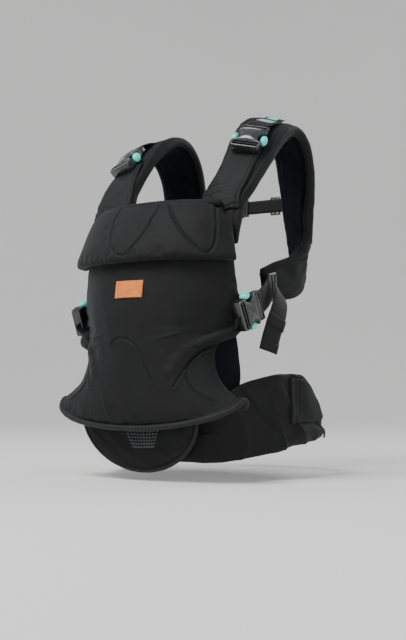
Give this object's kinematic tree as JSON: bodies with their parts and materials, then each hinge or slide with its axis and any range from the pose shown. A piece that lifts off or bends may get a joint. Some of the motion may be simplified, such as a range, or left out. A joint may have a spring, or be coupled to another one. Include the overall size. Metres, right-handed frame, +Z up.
{
  "type": "soft baby carrier",
  "caption": "Soft structured baby carrier with padded panel, fold-down head support, shoulder straps, waistband and side-release buckles.",
  "frame": {"origin": "centre of the waistband's loop, where the wearer's waist is", "axes": "+Z up, -Y away from the wearer (the panel's outer side), +X towards the wearer's left"},
  "size_m": [0.388, 0.3769, 0.5937],
  "materials": {
    "shell": "padded black cotton twill, matt",
    "lining": "blue-black spacer mesh, matt",
    "webbing": "black woven webbing",
    "piping": "black corded piping",
    "leather": "tan leather, satin",
    "mesh": "open vent mesh",
    "buckle": "black moulded plastic, satin",
    "button": "turquoise moulded plastic"
  },
  "bodies": {
    "carrier": {"belly_pad": "lining", "belt_flap_left": "shell", "belt_flap_right": "shell", "belt_wing_left": "shell", "belt_wing_right": "shell", "front_panel": "shell", "leather_patch": "leather", "leg_gusset_left": "lining", "leg_gusset_right": "lining", "leg_roll_left": "shell", "leg_roll_right": "shell", "mesh_vent": "mesh", "seat_base": "lining", "seat_piping": "piping", "shoulder_left_housing": "buckle", "shoulder_left_tab": "webbing", "shoulder_right_housing": "buckle", "shoulder_right_tab": "webbing", "side_left_adjuster": "buckle", "side_left_housing": "buckle", "side_left_web": "webbing", "side_right_adjuster": "buckle", "side_right_housing": "buckle", "side_right_web": "webbing", "strap_left": "shell", "strap_right": "shell", "strap_sleeve_left": "shell", "strap_sleeve_right": "shell", "waist_housing": "buckle", "waist_panel": "shell", "waist_piping": "piping", "waist_web_left": "webbing", "waist_web_right": "webbing"},
    "collar": {"collar": "shell"},
    "shoulder_left_plug": {"shoulder_left_plug": "buckle"},
    "shoulder_left_button_outer": {"shoulder_left_button_outer": "button"},
    "shoulder_left_button_inner": {"shoulder_left_button_inner": "button"},
    "side_left_plug": {"side_left_plug": "buckle"},
    "side_left_button_lower": {"side_left_button_lower": "button"},
    "side_left_button_upper": {"side_left_button_upper": "button"},
    "side_left_tail": {"side_left_tail": "webbing"},
    "shoulder_right_plug": {"shoulder_right_plug": "buckle"},
    "shoulder_right_button_inner": {"shoulder_right_button_inner": "button"},
    "shoulder_right_button_outer": {"shoulder_right_button_outer": "button"},
    "side_right_plug": {"side_right_plug": "buckle"},
    "side_right_button_upper": {"side_right_button_upper": "button"},
    "side_right_button_lower": {"side_right_button_lower": "button"},
    "side_right_tail": {"side_right_tail": "webbing"},
    "waist_plug": {"waist_plug": "buckle"},
    "waist_button_lower": {"waist_button_lower": "button"},
    "waist_button_upper": {"waist_button_upper": "button"},
    "chest_strap": {"chest_housing": "buckle", "chest_slider_left": "buckle", "chest_slider_right": "buckle", "chest_web_left": "webbing", "chest_web_right": "webbing"},
    "chest_plug": {"chest_plug": "buckle"},
    "chest_button_lower": {"chest_button_lower": "button"},
    "chest_button_upper": {"chest_button_upper": "button"}
  },
  "joints": [
    {"name": "collar_fold", "type": "hinge", "parent": "carrier", "child": "collar", "pos_m": [0, -0.072, 0.289], "axis": [-1, 0, 0], "range_deg": [0, 150]},
    {"name": "shoulder_left_release", "type": "slide", "parent": "carrier", "child": "shoulder_left_plug", "axis": [0, 0.7108, 0.7034], "range_m": [0, 0.02], "deforming": ["shoulder_left_tab"]},
    {"name": "shoulder_left_press_outer", "type": "slide", "parent": "carrier", "child": "shoulder_left_button_outer", "axis": [1, 0, 0], "range_m": [0, 0.0018], "stiffness_N_per_m": 600},
    {"name": "shoulder_left_press_inner", "type": "slide", "parent": "carrier", "child": "shoulder_left_button_inner", "axis": [-1, 0, 0], "range_m": [0, 0.0018], "stiffness_N_per_m": 600},
    {"name": "side_left_release", "type": "slide", "parent": "carrier", "child": "side_left_plug", "axis": [-0.0999, 0.9044, 0.4147], "range_m": [0, 0.018], "deforming": ["side_left_web"]},
    {"name": "side_left_press_lower", "type": "slide", "parent": "carrier", "child": "side_left_button_lower", "axis": [0.0413, -0.4127, 0.9099], "range_m": [0, 0.0018], "stiffness_N_per_m": 600},
    {"name": "side_left_press_upper", "type": "slide", "parent": "carrier", "child": "side_left_button_upper", "axis": [-0.0413, 0.4127, -0.9099], "range_m": [0, 0.0018], "stiffness_N_per_m": 600},
    {"name": "side_left_tail_swing", "type": "hinge", "parent": "carrier", "child": "side_left_tail", "pos_m": [-0.1585, 0.04664, 0.155], "axis": [0, 1, 0], "range_deg": [0, 20]},
    {"name": "shoulder_right_release", "type": "slide", "parent": "carrier", "child": "shoulder_right_plug", "axis": [0, 0.6728, 0.7398], "range_m": [0, 0.02], "deforming": ["shoulder_right_tab"]},
    {"name": "shoulder_right_press_inner", "type": "slide", "parent": "carrier", "child": "shoulder_right_button_inner", "axis": [1, 0, 0], "range_m": [0, 0.0018], "stiffness_N_per_m": 600},
    {"name": "shoulder_right_press_outer", "type": "slide", "parent": "carrier", "child": "shoulder_right_button_outer", "axis": [-1, 0, 0], "range_m": [0, 0.0018], "stiffness_N_per_m": 600},
    {"name": "side_right_release", "type": "slide", "parent": "carrier", "child": "side_right_plug", "axis": [0.0999, 0.9044, 0.4147], "range_m": [0, 0.018], "deforming": ["side_right_web"]},
    {"name": "side_right_press_upper", "type": "slide", "parent": "carrier", "child": "side_right_button_upper", "axis": [0.0413, 0.4127, -0.9099], "range_m": [0, 0.0018], "stiffness_N_per_m": 600},
    {"name": "side_right_press_lower", "type": "slide", "parent": "carrier", "child": "side_right_button_lower", "axis": [-0.0413, -0.4127, 0.9099], "range_m": [0, 0.0018], "stiffness_N_per_m": 600},
    {"name": "side_right_tail_swing", "type": "hinge", "parent": "carrier", "child": "side_right_tail", "pos_m": [0.1585, 0.04664, 0.155], "axis": [0, -1, 0], "range_deg": [0, 20]},
    {"name": "waist_release", "type": "slide", "parent": "carrier", "child": "waist_plug", "axis": [1, 0, 0], "range_m": [0, 0.02], "deforming": ["waist_web_right"]},
    {"name": "waist_press_lower", "type": "slide", "parent": "carrier", "child": "waist_button_lower", "axis": [0, 0, 1], "range_m": [0, 0.0018], "stiffness_N_per_m": 600},
    {"name": "waist_press_upper", "type": "slide", "parent": "carrier", "child": "waist_button_upper", "axis": [0, 0, -1], "range_m": [0, 0.0018], "stiffness_N_per_m": 600},
    {"name": "chest_slide", "type": "slide", "parent": "carrier", "child": "chest_strap", "axis": [0, 0, 1], "range_m": [-0.03, 0.03]},
    {"name": "chest_release", "type": "slide", "parent": "chest_strap", "child": "chest_plug", "axis": [1, 0, 0], "range_m": [0, 0.014], "deforming": ["chest_web_right"]},
    {"name": "chest_press_lower", "type": "slide", "parent": "chest_strap", "child": "chest_button_lower", "axis": [0, 0, 1], "range_m": [0, 0.0012], "stiffness_N_per_m": 600},
    {"name": "chest_press_upper", "type": "slide", "parent": "chest_strap", "child": "chest_button_upper", "axis": [0, 0, -1], "range_m": [0, 0.0012], "stiffness_N_per_m": 600}
  ],
  "couplings": [
    {"joint": "shoulder_left_press_inner", "follows": "shoulder_left_press_outer", "ratio": 1},
    {"joint": "side_left_press_upper", "follows": "side_left_press_lower", "ratio": 1},
    {"joint": "shoulder_right_press_outer", "follows": "shoulder_right_press_inner", "ratio": 1},
    {"joint": "side_right_press_lower", "follows": "side_right_press_upper", "ratio": 1},
    {"joint": "waist_press_upper", "follows": "waist_press_lower", "ratio": 1},
    {"joint": "chest_press_upper", "follows": "chest_press_lower", "ratio": 1}
  ]
}
